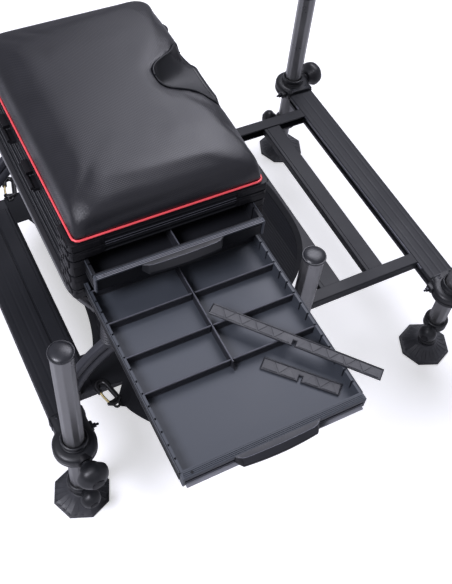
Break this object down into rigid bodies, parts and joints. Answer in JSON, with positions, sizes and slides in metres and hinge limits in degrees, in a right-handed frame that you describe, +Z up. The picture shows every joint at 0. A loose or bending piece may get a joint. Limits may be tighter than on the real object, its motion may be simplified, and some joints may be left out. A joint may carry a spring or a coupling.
{
  "type": "fishing seat box",
  "caption": "Padded seat box with stacked side drawers on a legged tubular frame with a sliding footplate, height-adjustable feet and a slack net under the seat.",
  "frame": {"origin": "on the ground under the middle of the bounding box", "axes": "+X forward over the footplate, +Y away from the side where the drawers open, +Z up"},
  "size_m": [0.9078, 0.9666, 0.6413],
  "materials": {
    "seat_vinyl": "woven-look vinyl, satin",
    "piping": "smooth",
    "grey_moulding": "fine texture",
    "anodised_profile": "satin black anodised",
    "drawer_plastic": "satin",
    "divider_plastic": "satin",
    "moulded_plastic": "fine texture",
    "coated_frame": "satin",
    "hoop_tube": "gloss",
    "leg_tube": "satin dark anodised",
    "foot_rubber": "matt",
    "net_fabric": "woven mesh",
    "link_metal": "gloss"
  },
  "bodies": {
    "frame": {"rear_beam": "coated_frame", "mid_beam": "coated_frame", "side_rail_right": "coated_frame", "side_rail_left": "coated_frame", "side_arch_right": "coated_frame", "side_arch_left": "coated_frame", "hoop_rear": "hoop_tube", "hoop_front": "hoop_tube", "under_net": "net_fabric", "snap_link_right": "link_metal", "snap_link_left": "link_metal", "base_frame": "anodised_profile", "lower_case": "anodised_profile", "upper_case": "anodised_profile", "tray_frame": "anodised_profile", "leg_clamp_rear_right": "moulded_plastic", "leg_clamp_rear_left": "moulded_plastic", "leg_clamp_mid_right": "moulded_plastic", "leg_clamp_mid_left": "moulded_plastic"},
    "lid": {"lid_frame": "anodised_profile", "seat_pad": "seat_vinyl", "seat_piping": "piping", "pole_rest": "grey_moulding"},
    "upper_drawer": {"upper_drawer_tray": "drawer_plastic", "upper_drawer_front": "moulded_plastic", "upper_drawer_divider": "divider_plastic"},
    "lower_drawer": {"lower_drawer_tray": "drawer_plastic", "lower_drawer_front": "moulded_plastic", "centre_divider": "divider_plastic", "cross_divider_1": "divider_plastic", "cross_divider_2": "divider_plastic", "cross_divider_3": "divider_plastic", "cross_divider_4": "divider_plastic", "spare_divider_short": "divider_plastic"},
    "loose_divider": {"spare_divider_long": "divider_plastic"},
    "footplate": {"footplate_rail_right": "coated_frame", "footplate_rail_left": "coated_frame", "footplate_crossbar": "coated_frame", "footplate_slat": "coated_frame", "front_beam": "coated_frame", "leg_clamp_front_right": "moulded_plastic", "leg_clamp_front_left": "moulded_plastic"},
    "leg_rear_right": {"leg_rear_right": "leg_tube"},
    "knob_rear_right": {"clamp_knob_rear_right": "moulded_plastic"},
    "foot_rear_right": {"foot_rear_right": "foot_rubber"},
    "leg_rear_left": {"leg_rear_left": "leg_tube"},
    "knob_rear_left": {"clamp_knob_rear_left": "moulded_plastic"},
    "foot_rear_left": {"foot_rear_left": "foot_rubber"},
    "leg_mid_right": {"leg_mid_right": "leg_tube"},
    "knob_mid_right": {"clamp_knob_mid_right": "moulded_plastic"},
    "foot_mid_right": {"foot_mid_right": "foot_rubber"},
    "leg_mid_left": {"leg_mid_left": "leg_tube"},
    "knob_mid_left": {"clamp_knob_mid_left": "moulded_plastic"},
    "foot_mid_left": {"foot_mid_left": "foot_rubber"},
    "leg_front_right": {"leg_front_right": "leg_tube"},
    "knob_front_right": {"clamp_knob_front_right": "moulded_plastic"},
    "foot_front_right": {"foot_front_right": "foot_rubber"},
    "leg_front_left": {"leg_front_left": "leg_tube"},
    "knob_front_left": {"clamp_knob_front_left": "moulded_plastic"},
    "foot_front_left": {"foot_front_left": "foot_rubber"}
  },
  "joints": [
    {"name": "lid_hinge", "type": "hinge", "parent": "frame", "child": "lid", "pos_m": [-0.35201, 0.08273, 0.56685], "axis": [0, -1, 0], "range_deg": [0, 95]},
    {"name": "upper_drawer_slide", "type": "slide", "parent": "frame", "child": "upper_drawer", "axis": [0, 1, 0], "range_m": [-0.3, 0.037]},
    {"name": "lower_drawer_slide", "type": "slide", "parent": "frame", "child": "lower_drawer", "axis": [0, 1, 0], "range_m": [0, 0.336]},
    {"name": "loose_divider_lift", "type": "slide", "parent": "frame", "child": "loose_divider", "axis": [0, 0, 1], "range_m": [0, 0.12]},
    {"name": "footplate_slide", "type": "slide", "parent": "frame", "child": "footplate", "axis": [1, 0, 0], "range_m": [-0.12, 0]},
    {"name": "leg_height_rear_right", "type": "slide", "parent": "frame", "child": "leg_rear_right", "axis": [0, 0, 1], "range_m": [-0.26, 0.1]},
    {"name": "clamp_turn_rear_right", "type": "hinge", "parent": "frame", "child": "knob_rear_right", "pos_m": [-0.39773, -0.29194, 0.205], "axis": [0.1045, -0.9945, 0], "range_deg": [0, 360]},
    {"name": "foot_stem_rear_right", "type": "slide", "parent": "leg_rear_right", "child": "foot_rear_right", "axis": [0, 0, 1], "range_m": [-0.06, 0]},
    {"name": "leg_height_rear_left", "type": "slide", "parent": "frame", "child": "leg_rear_left", "axis": [0, 0, 1], "range_m": [-0.26, 0.1]},
    {"name": "clamp_turn_rear_left", "type": "hinge", "parent": "frame", "child": "knob_rear_left", "pos_m": [-0.39773, 0.4574, 0.205], "axis": [0.1045, 0.9945, 0], "range_deg": [0, 360]},
    {"name": "foot_stem_rear_left", "type": "slide", "parent": "leg_rear_left", "child": "foot_rear_left", "axis": [0, 0, 1], "range_m": [-0.06, 0]},
    {"name": "leg_height_mid_right", "type": "slide", "parent": "frame", "child": "leg_mid_right", "axis": [0, 0, 1], "range_m": [-0.255, 0.075]},
    {"name": "clamp_turn_mid_right", "type": "hinge", "parent": "frame", "child": "knob_mid_right", "pos_m": [0.01999, -0.27227, 0.18], "axis": [0, -1, 0], "range_deg": [0, 360]},
    {"name": "foot_stem_mid_right", "type": "slide", "parent": "leg_mid_right", "child": "foot_mid_right", "axis": [0, 0, 1], "range_m": [-0.06, 0]},
    {"name": "leg_height_mid_left", "type": "slide", "parent": "frame", "child": "leg_mid_left", "axis": [0, 0, 1], "range_m": [-0.255, 0.075]},
    {"name": "clamp_turn_mid_left", "type": "hinge", "parent": "frame", "child": "knob_mid_left", "pos_m": [0.01999, 0.43773, 0.18], "axis": [0, 1, 0], "range_deg": [0, 360]},
    {"name": "foot_stem_mid_left", "type": "slide", "parent": "leg_mid_left", "child": "foot_mid_left", "axis": [0, 0, 1], "range_m": [-0.06, 0]},
    {"name": "leg_height_front_right", "type": "slide", "parent": "footplate", "child": "leg_front_right", "axis": [0, 0, 1], "range_m": [-0.21, 0.07]},
    {"name": "clamp_turn_front_right", "type": "hinge", "parent": "footplate", "child": "knob_front_right", "pos_m": [0.42695, -0.2478, 0.205], "axis": [0.9659, -0.2588, 0], "range_deg": [0, 360]},
    {"name": "foot_stem_front_right", "type": "slide", "parent": "leg_front_right", "child": "foot_front_right", "axis": [0, 0, 1], "range_m": [-0.06, 0]},
    {"name": "leg_height_front_left", "type": "slide", "parent": "footplate", "child": "leg_front_left", "axis": [0, 0, 1], "range_m": [-0.21, 0.07]},
    {"name": "clamp_turn_front_left", "type": "hinge", "parent": "footplate", "child": "knob_front_left", "pos_m": [0.42695, 0.41326, 0.205], "axis": [0.9659, 0.2588, 0], "range_deg": [0, 360]},
    {"name": "foot_stem_front_left", "type": "slide", "parent": "leg_front_left", "child": "foot_front_left", "axis": [0, 0, 1], "range_m": [-0.06, 0]}
  ]
}
